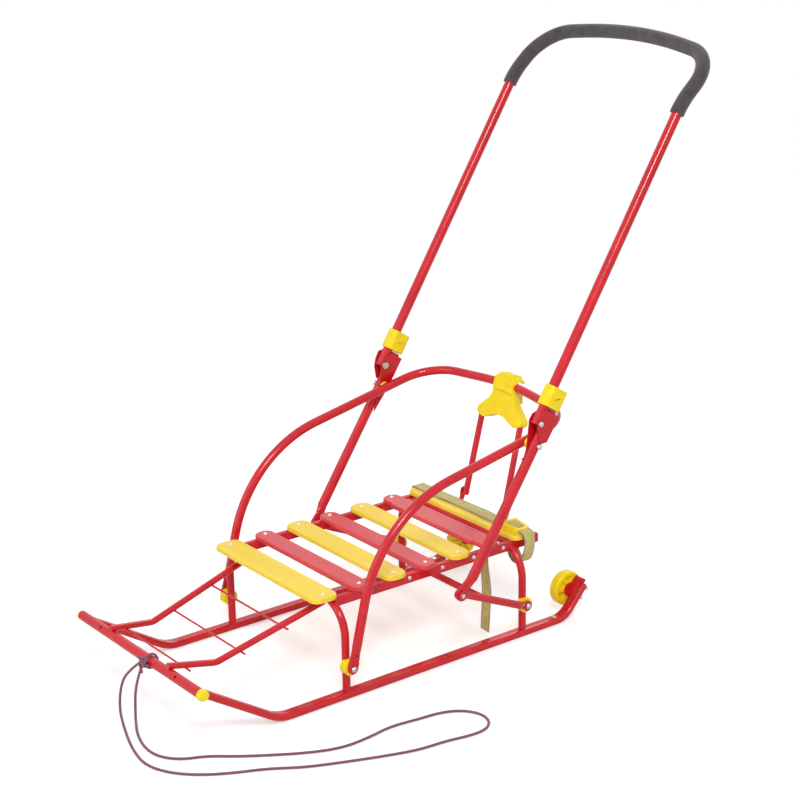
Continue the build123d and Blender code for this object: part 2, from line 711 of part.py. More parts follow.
# Belt: over the rear slat, round the left end of the rear arch, and a tail hanging inside
belt_width = 22
belt_thickness = 2
belt_x = -135
buckle_end_y = 93
slat_end_y = slats[-1][2]
belt_parts = (
    # name, width along X, points along Y and Z, first X
    ("belt_strap", belt_x, (
        (-slat_end_y - 4, rail_bottom + 4),
        (-slat_end_y - 1.5, seat_top + belt_thickness / 2 + 0.3),
        (buckle_end_y - 0.5, seat_top + belt_thickness / 2 + 0.3),
    )),
)
for name, x, points in belt_parts:
    with BuildPart() as strap:
        with BuildSketch(Plane.YZ.offset(x - belt_width / 2)):
            with BuildLine():
                FilletPolyline(*points, radius=4)
            trace(line_width=belt_thickness)
        extrude(amount=belt_width)
    save(strap, name)
with BuildPart() as buckle:
    with BuildSketch(Plane.XY.offset(seat_top + 0.3)):
        with Locations((belt_x, buckle_end_y + 28.5)):
            RectangleRounded(34, 57, 8)
    extrude(amount=9)
    fillet(buckle.faces().sort_by(Axis.Z)[-1].edges(), 2)
save(buckle, "belt_buckle")

# Tow rope, one loop from the hitch on the crossbar round over the floor and back
rope_radius = 2.2
floor_z = rope_radius + 0.3
rope_y = 30
hitch_x = crossbar_x + crossbar_radius
rope_route = (
    # down from the hitch
    (hitch_x + 6, rope_y - 3, crossbar_z - 5),
    (hitch_x + 9, rope_y - 12, 62),
    (hitch_x + 10, rope_y - 20, 37),
    (hitch_x + 13, rope_y - 17, 14),
    # out over the floor, past the left runner
    (512, 31, floor_z),
    (529, 64, floor_z),
    (541, 104, floor_z),
    (540, 139, floor_z),
    (520, 167, floor_z),
    (486, 181, floor_z),
    (455, 208, floor_z),
    (419, 233, floor_z),
    (373, 262, floor_z),
    (327, 281, floor_z),
    (280, 280, floor_z),
    (237, 273, floor_z),
    (193, 280, floor_z),
    (151, 285, floor_z),
    (125, 300, floor_z),
    (111, 325, floor_z),
    (116, 350, floor_z),
    (136, 366, floor_z),
    (165, 366, floor_z),
    (201, 357, floor_z),
    (248, 353, floor_z),
    (297, 336, floor_z),
    (350, 315, floor_z),
    (401, 292, floor_z),
    (439, 265, floor_z),
    (485, 244, floor_z),
    (522, 221, floor_z),
    (551, 190, floor_z),
    (566, 150, floor_z),
    (558, 104, floor_z),
    (544, 62, floor_z),
    (529, 24, floor_z),
    # and up again
    (519, -2, 11),
    (513, -10, 34),
    (510, -2, 60),
    (502, 14, 80),
    (hitch_x + 5.5, rope_y - 1, crossbar_z + 4),
)


def bend_radii(points):
    """The largest even arc at each inner point of a route."""
    places = [Vector(*point) for point in points]
    radii = []
    for before, here, after in zip(places, places[1:], places[2:]):
        first, second = here - before, after - here
        turn = radians(first.get_angle(second))
        radii.append(0.45 * min(first.length, second.length) / tan(turn / 2))
    return radii


rope_radii = bend_radii(rope_route)
print("rope radii", [round(value) for value in rope_radii])
with BuildPart() as rope:
    with BuildLine() as route:
        FilletPolyline(*rope_route, radius=rope_radii)
    with BuildSketch(Plane(route.line @ 0, z_dir=route.line % 0)):
        Circle(rope_radius)
    sweep()
rope_length = sum(edge.length for edge in route.edges())
print("rope length", round(rope_length), "volume share",
      round(rope.part.volume / (pi * rope_radius ** 2 * rope_length), 4))
save(rope, "tow_rope")

# Hitch: the rope's two turns round the crossbar with the knot in front
with BuildPart() as hitch:
    with Locations(*[Pos(crossbar_x, rope_y + side * (rope_radius + 0.2), crossbar_z)
                     for side in (-1, 1)]):
        Cylinder(crossbar_radius + 2 * rope_radius, 2 * rope_radius, rotation=(90, 0, 0))
    fillet(hitch.edges().filter_by(GeomType.CIRCLE), 1.8)
    with Locations(Pos(crossbar_x, 0, crossbar_z)):
        Cylinder(crossbar_radius, 200, rotation=(90, 0, 0), mode=Mode.SUBTRACT)
    with BuildSketch(Plane.YZ.offset(hitch_x + 1)):
        with Locations((rope_y, crossbar_z)):
            Ellipse(9, 7.5)
    extrude(amount=9)
    fillet(hitch.edges().sort_by(Axis.X)[-1], 4)
    add(rope.part, mode=Mode.SUBTRACT)
save(hitch, "rope_hitch")
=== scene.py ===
"""Dresses the folding push sled: paint, moulded plastic, foam, webbing and rope.

Metres, +X the way the sled travels, +Y its left side, +Z up, floor at zero.
"""

import math

import bmesh
import bpy
from mathutils import Matrix, Vector


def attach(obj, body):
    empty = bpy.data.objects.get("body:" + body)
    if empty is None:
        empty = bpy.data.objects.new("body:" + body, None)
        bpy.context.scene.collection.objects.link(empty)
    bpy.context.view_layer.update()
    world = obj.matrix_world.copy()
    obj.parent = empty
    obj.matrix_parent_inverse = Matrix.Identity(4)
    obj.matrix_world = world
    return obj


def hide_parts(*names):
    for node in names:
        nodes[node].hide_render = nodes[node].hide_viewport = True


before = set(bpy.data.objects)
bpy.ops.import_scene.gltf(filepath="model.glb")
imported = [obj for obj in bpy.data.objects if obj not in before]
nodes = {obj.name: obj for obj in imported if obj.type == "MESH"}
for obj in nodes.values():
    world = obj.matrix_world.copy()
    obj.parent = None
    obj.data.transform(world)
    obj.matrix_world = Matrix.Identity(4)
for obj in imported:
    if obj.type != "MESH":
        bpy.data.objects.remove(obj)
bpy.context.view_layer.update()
bpy.ops.object.select_all(action="DESELECT")

# Camera at the photograph's place: a three-quarter view from the front left, through a long
# lens held above the handle's grip and looking down on the seat.
camera_place = (1.7426, 2.3139, 1.3329)
yaw, pitch, roll = (math.radians(turn) for turn in (232.986, 18.269, -1.04))
bpy.ops.object.camera_add(location=(0, 0, 0))
camera = bpy.context.object
camera.name = "camera"
sight = Vector((math.cos(yaw) * math.cos(pitch), math.sin(yaw) * math.cos(pitch),
                -math.sin(pitch)))
level_right = sight.cross(Vector((0, 0, 1))).normalized()
level_up = level_right.cross(sight)
right = level_right * math.cos(roll) + level_up * math.sin(roll)
up = level_up * math.cos(roll) - level_right * math.sin(roll)
camera.matrix_world = Matrix.Translation(camera_place) @ Matrix(
    (right, up, -sight)).transposed().to_4x4()
camera.data.lens = 89.3
camera.data.sensor_width = 36
camera.data.shift_x = -0.0035
camera.data.shift_y = -0.0033
bpy.context.scene.camera = camera
bpy.context.scene.view_settings.view_transform = "Standard"

# Studio: a pale floor and an even white surround, with one large soft key from the upper
# left of the picture, a low fill and a rim from behind.
surround_light = 0.45
floor_colour = (0.86, 0.86, 0.86, 1)
floor_glow = 0.4
fade_start, fade_end = 0.9, 2.2
studio_lamps = (
    # name, place, aim, size, watts
    ("key_light", (1.6, 2.6, 3.2), (0.0, 0.0, 0.25), 1.05, 84),
    ("fill_light", (3.2, -0.6, 1.6), (0.0, 0.0, 0.2), 2.2, 26),
    ("rim_light", (-2.4, -1.6, 2.6), (0.0, 0.0, 0.3), 1.6, 30),
)


def feed(tree, *pairs):
    """Gives each input socket of a shader tree its number, its colour or its link."""
    for socket, value in pairs:
        if isinstance(value, bpy.types.NodeSocket):
            tree.links.new(value, socket)
        else:
            socket.default_value = value


def calc(tree, operation, *values):
    """The result of a Math node that is fed with sockets or numbers."""
    node = tree.nodes.new("ShaderNodeMath")
    node.operation = operation
    feed(tree, *zip(node.inputs, values))
    return node.outputs[0]


world = bpy.data.worlds.new("studio_surround")
bpy.context.scene.world = world
world.use_nodes = True
surround = world.node_tree
surround.nodes.clear()
ray = surround.nodes.new("ShaderNodeLightPath")
mirrored = calc(surround, "MAXIMUM", ray.outputs["Is Camera Ray"], ray.outputs["Is Glossy Ray"])
seen = calc(surround, "MAXIMUM", mirrored, ray.outputs["Is Transmission Ray"])
strength = surround.nodes.new("ShaderNodeMapRange")
background = surround.nodes.new("ShaderNodeBackground")
world_out = surround.nodes.new("ShaderNodeOutputWorld")
feed(surround,
     (strength.inputs["Value"], seen),
     (strength.inputs["To Min"], surround_light),
     (strength.inputs["To Max"], 1.0),
     (background.inputs["Color"], (1, 1, 1, 1)),
     (background.inputs["Strength"], strength.outputs["Result"]),
     (world_out.inputs["Surface"], background.outputs[0]))

for name, place, aim, size, watts in studio_lamps:
    bpy.ops.object.light_add(type="AREA", location=place)
    lamp = bpy.context.object
    lamp.name = name
    lamp.data.size = size
    lamp.data.energy = watts
    lamp.rotation_euler = (Vector(aim) - Vector(place)).to_track_quat("-Z", "Y").to_euler()

bpy.ops.mesh.primitive_plane_add(size=30, location=(0, 0, 0))
floor = bpy.context.object
floor.name = "studio_floor"
paper = bpy.data.materials.new("studio_paper")
paper.use_nodes = True
tree = paper.node_tree
tree.nodes.clear()
ray = tree.nodes.new("ShaderNodeLightPath")
matt = tree.nodes.new("ShaderNodeBsdfDiffuse")
glow = tree.nodes.new("ShaderNodeEmission")
lit = tree.nodes.new("ShaderNodeAddShader")
near_floor = tree.nodes.new("ShaderNodeMixShader")
# far from the sled the floor fades into the white surround, for the camera only
spot = tree.nodes.new("ShaderNodeTexCoord")
reach = tree.nodes.new("ShaderNodeVectorMath")
reach.operation = "LENGTH"
fade = tree.nodes.new("ShaderNodeMapRange")
white = tree.nodes.new("ShaderNodeEmission")
whole_floor = tree.nodes.new("ShaderNodeMixShader")
paper_out = tree.nodes.new("ShaderNodeOutputMaterial")
feed(tree,
     (matt.inputs["Color"], floor_colour),
     (glow.inputs["Strength"], floor_glow),
     (lit.inputs[0], matt.outputs[0]),
     (lit.inputs[1], glow.outputs[0]),
     (near_floor.inputs[0], ray.outputs["Is Camera Ray"]),
     (near_floor.inputs[1], matt.outputs[0]),
     (near_floor.inputs[2], lit.outputs[0]),
     (reach.inputs[0], spot.outputs["Object"]),
     (fade.inputs["From Min"], fade_start),
     (fade.inputs["From Max"], fade_end),
     (fade.inputs["Value"], reach.outputs["Value"]),
     (white.inputs["Strength"], 1.0),
     (whole_floor.inputs[0], calc(tree, "MULTIPLY", fade.outputs["Result"],
                                  ray.outputs["Is Camera Ray"])),
     (whole_floor.inputs[1], near_floor.outputs[0]),
     (whole_floor.inputs[2], white.outputs[0]),
     (paper_out.inputs["Surface"], whole_floor.outputs[0]))
floor.data.materials.append(paper)

# Tow rope: one limp cord of three laid fibre strands, 4.4 mm thick. Both its ends are tied
# round the crossbar, and the rest lies on the floor in one long loop.
rope_diameter = 0.0044
rope_floor = 0.0025
rope_route = (
    (0.495, 0.027, 0.085), (0.498, 0.018, 0.062), (0.499, 0.010, 0.037),
    (0.502, 0.013, 0.014), (0.512, 0.031, rope_floor), (0.529, 0.064, rope_floor),
    (0.541, 0.104, rope_floor), (0.540, 0.139, rope_floor), (0.520, 0.167, rope_floor),
    (0.486, 0.181, rope_floor), (0.455, 0.208, rope_floor), (0.419, 0.233, rope_floor),
    (0.373, 0.262, rope_floor), (0.327, 0.281, rope_floor), (0.280, 0.280, rope_floor),
    (0.237, 0.273, rope_floor), (0.193, 0.280, rope_floor), (0.151, 0.285, rope_floor),
    (0.125, 0.300, rope_floor), (0.111, 0.325, rope_floor), (0.116, 0.350, rope_floor),
    (0.136, 0.366, rope_floor), (0.165, 0.366, rope_floor), (0.201, 0.357, rope_floor),
    (0.248, 0.353, rope_floor), (0.297, 0.336, rope_floor), (0.350, 0.315, rope_floor),
    (0.401, 0.292, rope_floor), (0.439, 0.265, rope_floor), (0.485, 0.244, rope_floor),
    (0.522, 0.221, rope_floor), (0.551, 0.190, rope_floor), (0.566, 0.150, rope_floor),
    (0.558, 0.104, rope_floor), (0.544, 0.062, rope_floor), (0.529, 0.024, rope_floor),
    (0.519, -0.002, 0.011), (0.513, -0.010, 0.034), (0.510, -0.002, 0.060),
    (0.502, 0.014, 0.080), (0.4945, 0.029, 0.094),
)


def cord_line(points, steps):
    """The points that Blender works out along a cord's smooth line through its own points."""
    bpy.ops.object.select_all(action="DESELECT")
    bpy.ops.curve.primitive_nurbs_path_add()
    line = bpy.context.object
    line.data.splines.clear()
    spline = line.data.splines.new("NURBS")
    spline.points.add(len(points) - 1)
    for point, place in zip(spline.points, points):
        point.co = (*place, 1)
    spline.order_u = 3
    spline.use_endpoint_u = True
    line.data.dimensions = "3D"
    line.data.resolution_u = steps
    drawn = bpy.data.meshes.new_from_object(line)
    places = [vertex.co.copy() for vertex in drawn.vertices]
    bpy.data.meshes.remove(drawn)
    bpy.ops.object.delete()
    return places


def laid_cord(name, places, thickness, lay=0.013, strands=3, sides=8, pressed=1.06):
    """Strands laid round one line, each a closed tube with its own lengthwise UV map; they
    are a little thicker than room allows, because they press into each other."""
    strand_radius = thickness / 2 / (1 + 1 / math.sin(math.pi / strands))
    offset = thickness / 2 - strand_radius
    strand_radius *= pressed
    shape = bmesh.new()
    along = shape.loops.layers.uv.new("along_strand")
    for strand in range(strands):
        rings = []
        run = 0
        side = Vector((0, 0, 1))
        for index, place in enumerate(places):
            before = places[max(index - 1, 0)]
            after = places[min(index + 1, len(places) - 1)]
            ahead = (after - before).normalized()
            side = (side - ahead * side.dot(ahead)).normalized()
            over = ahead.cross(side)
            run += (place - before).length
            turn = math.tau * (run / lay + strand / strands)
            centre = place + (side * math.cos(turn) + over * math.sin(turn)) * offset
            ring = []
            for step in range(sides):
                angle = math.tau * step / sides
                ring.append(shape.verts.new(
                    centre + (side * math.cos(angle) + over * math.sin(angle)) * strand_radius))
            rings.append((run, ring))
        for (start, low), (end, high) in zip(rings, rings[1:]):
            for step in range(sides):
                beside = (step + 1) % sides
                face = shape.faces.new((low[step], low[beside], high[beside], high[step]))
                face.smooth = True
                here, there = step / sides, (step + 1) / sides
                for loop, corner in zip(face.loops, ((here, start), (there, start),
                                                     (there, end), (here, end))):
                    loop[along].uv = corner
        shape.faces.new(list(reversed(rings[0][1])))
        shape.faces.new(rings[-1][1])
    bmesh.ops.recalc_face_normals(shape, faces=shape.faces)
    mesh = bpy.data.meshes.new(name)
    shape.to_mesh(mesh)
    shape.free()
    cord = bpy.data.objects.new(name, mesh)
    bpy.context.scene.collection.objects.link(cord)
    return cord


def effect_group(name, inputs, outputs):
    """An empty shader group with named sockets, and its two ends."""
    group = bpy.data.node_groups.new(name, "ShaderNodeTree")
    for label, kind, value in inputs:
        socket = group.interface.new_socket(label, in_out="INPUT", socket_type=kind)
        if value is not None:
            socket.default_value = value
    for label, kind in outputs:
        group.interface.new_socket(label, in_out="OUTPUT", socket_type=kind)
    return group, group.nodes.new("NodeGroupInput"), group.nodes.new("NodeGroupOutput")


def mixed(tree, share, first, second, blend="MIX"):
    """The result of a colour Mix node that is fed with sockets or colours."""
    node = tree.nodes.new("ShaderNodeMix")
    node.data_type = "RGBA"
    node.blend_type = blend
    feed(tree, (node.inputs[0], share), (node.inputs[6], first), (node.inputs[7], second))
    return node.outputs[2]


# patches: slow drift between two colours and two roughnesses over a surface
patches, patches_in, patches_out = effect_group(
    "colour_patches",
    (("Vector", "NodeSocketVector", None), ("Scale", "NodeSocketFloat", 30.0),
     ("Deep", "NodeSocketColor", (0.1, 0.1, 0.1, 1)),
     ("Pale", "NodeSocketColor", (0.9, 0.9, 0.9, 1)),
     ("Smooth", "NodeSocketFloat", 0.3), ("Rough", "NodeSocketFloat", 0.5)),
    (("Colour", "NodeSocketColor"), ("Roughness", "NodeSocketFloat"),
     ("Mask", "NodeSocketFloat")))
cloud = patches.nodes.new("ShaderNodeTexNoise")
spread = patches.nodes.new("ShaderNodeMapRange")
sheen = patches.nodes.new("ShaderNodeMapRange")
feed(patches,
     (cloud.inputs["Vector"], patches_in.outputs["Vector"]),
     (cloud.inputs["Scale"], patches_in.outputs["Scale"]),
     (cloud.inputs["Detail"], 5),
     (cloud.inputs["Roughness"], 0.6),
     (spread.inputs["Value"], cloud.outputs["Fac"]),
     (spread.inputs["From Min"], 0.3),
     (spread.inputs["From Max"], 0.7),
     (sheen.inputs["Value"], spread.outputs["Result"]),
     (sheen.inputs["To Min"], patches_in.outputs["Smooth"]),
     (sheen.inputs["To Max"], patches_in.outputs["Rough"]),
     (patches_out.inputs["Colour"], mixed(patches, spread.outputs["Result"],
                                          patches_in.outputs["Deep"],
                                          patches_in.outputs["Pale"])),
     (patches_out.inputs["Roughness"], sheen.outputs["Result"]),
     (patches_out.inputs["Mask"], spread.outputs["Result"]))

# skin: a coarse and a fine relief, for peel in paint, grain in plastic and pores in foam
skin, skin_in, skin_out = effect_group(
    "surface_skin",
    (("Vector", "NodeSocketVector", None), ("Coarse", "NodeSocketFloat", 200.0),
     ("Fine", "NodeSocketFloat", 1500.0), ("Share", "NodeSocketFloat", 0.5)),
    (("Height", "NodeSocketFloat"),))
lumps = skin.nodes.new("ShaderNodeTexNoise")
pores = skin.nodes.new("ShaderNodeTexNoise")
relief = skin.nodes.new("ShaderNodeMix")
relief.data_type = "FLOAT"
feed(skin,
     (lumps.inputs["Vector"], skin_in.outputs["Vector"]),
     (lumps.inputs["Scale"], skin_in.outputs["Coarse"]),
     (lumps.inputs["Detail"], 2),
     (pores.inputs["Vector"], skin_in.outputs["Vector"]),
     (pores.inputs["Scale"], skin_in.outputs["Fine"]),
     (pores.inputs["Detail"], 3),
     (relief.inputs[0], skin_in.outputs["Share"]),
     (relief.inputs[2], lumps.outputs["Fac"]),
     (relief.inputs[3], pores.outputs["Fac"]),
     (skin_out.inputs["Height"], relief.outputs[0]))


def finish_of(name, deep, pale, patch, smooth, rough, depth, coarse=200, fine=1500, share=0.5,
              stretch=(1, 1, 1), coordinates="Object", **sockets):
    """A finish whose colour and roughness drift in patches, over a relief of coarse and fine
    noise; sockets are the shader's own, each written with _ for a space."""
    material = bpy.data.materials.new(name)
    material.use_nodes = True
    look = material.node_tree
    shader = look.nodes["Principled BSDF"]
    place = look.nodes.new("ShaderNodeTexCoord")
    laid = look.nodes.new("ShaderNodeMapping")
    drift = look.nodes.new("ShaderNodeGroup")
    drift.node_tree = patches
    drift.name = "drift"
    grain = look.nodes.new("ShaderNodeGroup")
    grain.node_tree = skin
    bump = look.nodes.new("ShaderNodeBump")
    bump.name = "relief"
    feed(look,
         (laid.inputs["Vector"], place.outputs[coordinates]),
         (laid.inputs["Scale"], stretch),
         (drift.inputs["Vector"], laid.outputs[0]),
         (drift.inputs["Scale"], patch),
         (drift.inputs["Deep"], (*deep, 1)),
         (drift.inputs["Pale"], (*pale, 1)),
         (drift.inputs["Smooth"], smooth),
         (drift.inputs["Rough"], rough),
         (grain.inputs["Vector"], laid.outputs[0]),
         (grain.inputs["Coarse"], coarse),
         (grain.inputs["Fine"], fine),
         (grain.inputs["Share"], share),
         (bump.inputs["Strength"], 0.8),
         (bump.inputs["Distance"], depth),
         (bump.inputs["Height"], grain.outputs["Height"]),
         (shader.inputs["Base Color"], drift.outputs["Colour"]),
         (shader.inputs["Roughness"], drift.outputs["Roughness"]),
         (shader.inputs["Normal"], bump.outputs[0]))
    for socket, value in sockets.items():
        shader.inputs[socket.replace("_", " ")].default_value = value
    return material


def dress(material, *names):
    """Gives CAD nodes one finish."""
    for name in names:
        nodes[name].data.materials.clear()
        nodes[name].data.materials.append(material)


rope_fibre = finish_of(
    "rope_fibre", deep=(0.16, 0.036, 0.066), pale=(0.36, 0.14, 0.19), patch=260, smooth=0.75,
    rough=0.95, depth=0.0003, coarse=900, fine=2600, share=0.45, stretch=(1.6, 12, 1),
    coordinates="UV", Sheen_Weight=0.35, Sheen_Roughness=0.5)
rope_path = cord_line(rope_route, 30)
rope = laid_cord("tow_rope_strands", rope_path, rope_diameter)
rope.data.materials.append(rope_fibre)
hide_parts("tow_rope")
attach(rope, "sled")

# Hitch: the same cord taken nearly twice round the crossbar and closed in an overhand knot
# in front of it, with two short ends left over.
bar_x, bar_z = 0.4815, 0.0900
turn_radius = 0.0104
turns_from, turns_spread = 0.0272, 0.0054
hitch_turns = []
for step in range(4, 25):
    angle = math.radians(150 - 30 * step)
    hitch_turns.append((bar_x + turn_radius * math.cos(angle),
                        turns_from + turns_spread * step / 24,
                        bar_z + turn_radius * math.sin(angle)))
knot_start = ((0.4968, 0.0215, 0.0985), (0.4955, 0.0235, 0.0960), (0.4925, 0.0262, 0.0960))
hitch_knot = (
    (0.4930, 0.0345, 0.0945), (0.4965, 0.0365, 0.0915), (0.4972, 0.0330, 0.0860),
    (0.4940, 0.0270, 0.0845), (0.4925, 0.0235, 0.0880), (0.4950, 0.0245, 0.0940),
    (0.4980, 0.0300, 0.0955), (0.4975, 0.0355, 0.0905), (0.4935, 0.0345, 0.0850),
    (0.4925, 0.0285, 0.0865), (0.4960, 0.0250, 0.0905), (0.4978, 0.0275, 0.0860),
    (0.4972, 0.0290, 0.0800), (0.4968, 0.0300, 0.0755),
)
hitch = laid_cord("tow_rope_hitch", cord_line((*knot_start, *hitch_turns, *hitch_knot), 12),
                  rope_diameter)
hitch.data.materials.append(rope_fibre)
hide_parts("rope_hitch")
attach(hitch, "sled")

# Painted tubes: steel bent and welded, then powder coated a glossy signal red, so the
# colour drifts a little and the film shows a faint peel.
red_paint = finish_of(
    "red_paint", deep=(0.54, 0.006, 0.014), pale=(0.68, 0.012, 0.024), patch=18, smooth=0.13,
    rough=0.22, depth=0.00004, coarse=160, fine=1400, share=0.2, Coat_Weight=0.22,
    Coat_Roughness=0.05, Specular_IOR_Level=0.32)
dress(red_paint, "crossbar", "front_leg_arch", "rear_leg_arch", "seat_rail_left",
      "seat_rail_right", "footrest_rod_left", "footrest_rod_right", "footrest_rung_1",
      "footrest_rung_2", "footrest_rung_3", "strut_hinge", "back_frame_tube", "push_bar_left",
      "push_bar_right", "hinge_bracket_left", "hinge_bracket_right", "link_left", "link_right",
      "link_cross_tube", "strut_tube", "handle_tube", "wheel_bracket_left",
      "wheel_bracket_right")

# Runners: the same coated steel, flattened to an oval and rubbed bare in patches
# underneath, where they slide.
paint_whole_at, paint_worn_at = 0.0022, 0.0004
bare_steel = (0.42, 0.40, 0.38, 1)
runner_paint = red_paint.copy()
runner_paint.name = "runner_paint"
look = runner_paint.node_tree
shader = look.nodes["Principled BSDF"]
drift = look.nodes["drift"]
place = look.nodes.new("ShaderNodeTexCoord")
split = look.nodes.new("ShaderNodeSeparateXYZ")
sole = look.nodes.new("ShaderNodeMapRange")
rubbed = calc(look, "MULTIPLY", sole.outputs["Result"], drift.outputs["Mask"])
feed(look,
     (split.inputs[0], place.outputs["Object"]),
     (sole.inputs["Value"], split.outputs["Z"]),
     (sole.inputs["From Min"], paint_whole_at),
     (sole.inputs["From Max"], paint_worn_at),
     (shader.inputs["Base Color"], mixed(look, rubbed, drift.outputs["Colour"], bare_steel)),
     (shader.inputs["Metallic"], rubbed))
dress(runner_paint, "runner_left", "runner_right")

# Crossbar ends, leg saddles, corner spacers and wheels: one bright yellow injection-moulded
# plastic, satin with a fine grain. The sleeves, the buckle and the catch are made of it too.
yellow_plastic = finish_of(
    "yellow_plastic", deep=(0.92, 0.66, 0.003), pale=(0.99, 0.80, 0.012), patch=45, smooth=0.30,
    rough=0.44, depth=0.00008, coarse=500, fine=2600, share=0.4, Specular_IOR_Level=0.35)
dress(yellow_plastic, "crossbar_cap_left", "crossbar_cap_right", "arm_saddle_left",
      "arm_saddle_right", "link_saddle_left", "link_saddle_right", "corner_spacer_left",
      "corner_spacer_right", "wheel_left", "wheel_right")

# Slats: moulded boards, yellow and red by turns, with a fine grain that runs along each
# board the way the plastic filled the mould.
slat_grain = {"coarse": 300, "fine": 1500, "share": 0.5, "depth": 0.00016,
              "stretch": (4, 0.35, 2)}
yellow_slat = finish_of(
    "yellow_slat", deep=(0.93, 0.63, 0.030), pale=(0.98, 0.75, 0.070), patch=24, smooth=0.34,
    rough=0.5, Specular_IOR_Level=0.5, **slat_grain)
red_slat = finish_of(
    "red_slat", deep=(0.64, 0.034, 0.042), pale=(0.77, 0.060, 0.068), patch=24, smooth=0.26,
    rough=0.40, Specular_IOR_Level=0.6, **slat_grain)
dress(yellow_slat, "slat_1", "slat_3", "slat_5", "slat_7")
dress(red_slat, "slat_2", "slat_4", "slat_6")

# Slat screws: domed zinc heads with a small hollow, driven through both ends of a board
# into the rails. The belt covers those of the rear slat.
slat_top = 0.1585
screw_y = 0.1245
screwed_slats = (0.2445, 0.17925, 0.11575, 0.05525, -0.00725, -0.069)
zinc = finish_of(
    "zinc", deep=(0.50, 0.50, 0.49), pale=(0.80, 0.79, 0.76), patch=340, smooth=0.24,
    rough=0.44, depth=0.00005, coarse=900, fine=3200, share=0.5, stretch=(1, 1, 3),
    Metallic=1.0)


def turned(name, steps, sides=28):
    """A turned piece drawn up +Z from a filled circle: each step is (height, radius)."""
    bpy.ops.object.select_all(action="DESELECT")
    height, radius = steps[0]
    bpy.ops.mesh.primitive_circle_add(vertices=sides, radius=radius, fill_type="NGON",
                                      location=(0, 0, height))
    piece = bpy.context.object
    piece.name = name
    bpy.ops.object.mode_set(mode="EDIT")
    bpy.ops.mesh.select_all(action="SELECT")
    for next_height, next_radius in steps[1:]:
        bpy.ops.mesh.extrude_region_move(
            TRANSFORM_OT_translate={"value": (0, 0, next_height - height)})
        share = next_radius / radius
        bpy.ops.transform.resize(value=(share, share, 1), center_override=(0, 0, next_height))
        height, radius = next_height, next_radius
    bpy.ops.mesh.select_all(action="SELECT")
    bpy.ops.mesh.normals_make_consistent(inside=False)
    bpy.ops.object.mode_set(mode="OBJECT")
    bpy.ops.object.transform_apply(location=True, rotation=True, scale=True)
    bpy.ops.object.shade_smooth_by_angle(angle=math.radians(40))
    return piece


def take_up(piece):
    """Makes a piece the active one and the only one selected."""
    bpy.ops.object.select_all(action="DESELECT")
    piece.select_set(True)
    bpy.context.view_layer.objects.active = piece


def copied(piece, place, turn):
    """A copy of a piece that is turned and put at a place, both applied to its mesh."""
    take_up(piece)
    bpy.ops.object.duplicate(linked=False)
    copy = bpy.context.object
    copy.rotation_euler = turn
    copy.location = place
    bpy.ops.object.transform_apply(location=True, rotation=True, scale=True)
    return copy


def set_at(piece, places, name):
    """Copies of a turned piece, each with its foot at a place and looking along a direction,
    joined as one; the first one made is used up."""
    copies = [copied(piece, place, Vector(facing).to_track_quat("Z", "X").to_euler())
              for place, facing in places]
    take_up(copies[0])
    for copy in copies:
        copy.select_set(True)
    bpy.ops.object.join()
    whole = bpy.context.object
    whole.name = name
    whole.data.name = name
    bpy.data.objects.remove(piece)
    return whole


def both_sides(places, facing=None):
    """Each place at the left and its mirror place at the right, looking outward unless
    another way is given."""
    return [((x, side * y, z), facing or (0, side, 0)) for x, y, z in places
            for side in (1, -1)]


def fit(piece, material, body):
    """Gives a new piece its finish and the body that it moves with."""
    piece.data.materials.clear()
    piece.data.materials.append(material)
    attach(piece, body)


screw = turned("slat_screw", (
    (-0.004, 0.0016), (0.0, 0.0016), (0.0, 0.0034), (0.0007, 0.0033), (0.0013, 0.0027),
    (0.0017, 0.0018), (0.0017, 0.0011), (0.0011, 0.0008)), sides=20)
screws = set_at(screw, both_sides([(x, screw_y, slat_top) for x in screwed_slats], (0, 0, 1)),
                "slat_screws")
fit(screws, zinc, "sled")

# Rail rivets: four pale domed heads on the outer face of each rail, between the slats,
# where the rail is riveted to the tabs under the boards.
rail_face_y = 0.1325
rivet_z = 0.1445
rivet = turned("rail_rivet", (
    (-0.002, 0.0020), (0.0, 0.0020), (0.0, 0.0036), (0.0007, 0.0034), (0.0014, 0.0025),
    (0.0018, 0.0012)), sides=18)
rivets = set_at(rivet, both_sides([(x, rail_face_y, rivet_z)
                                   for x in (0.091, 0.028, -0.033, -0.092)]), "rail_rivets")
fit(rivets, zinc, "sled")

# Leg pivots: domed zinc bolts through the legs, one pair for the back frame's feet and one
# for the links, with a yellow saddle behind each.
arm_pivot = (0.228, 0.1755, 0.0523)
link_pivot = (-0.111, 0.170, 0.0537)
shank_radius = 0.0030
bolt_head = ((0.0, shank_radius), (0.0, 0.0045), (0.0012, 0.0043), (0.0022, 0.0034),
             (0.0028, 0.0022), (0.0030, 0.0012))
leg_bolt = turned("leg_bolt", ((-0.0140, shank_radius), *bolt_head))
leg_bolts = set_at(leg_bolt, both_sides([arm_pivot, link_pivot]), "leg_pivot_domes")
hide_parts("leg_pivot_bolts")
fit(leg_bolts, zinc, "sled")

# Upper corners: one domed bolt a side ties the back frame's arm to the push bar and its
# bracket, with a yellow spacer between them.
corner_pivot = (-0.1019, 0.2055, 0.32806)
corner_bolt = turned("corner_bolt", ((-0.0265, shank_radius), *bolt_head))
corner_bolts = set_at(corner_bolt, both_sides([corner_pivot]), "corner_domes")
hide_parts("corner_bolts")
fit(corner_bolts, zinc, "back_frame")

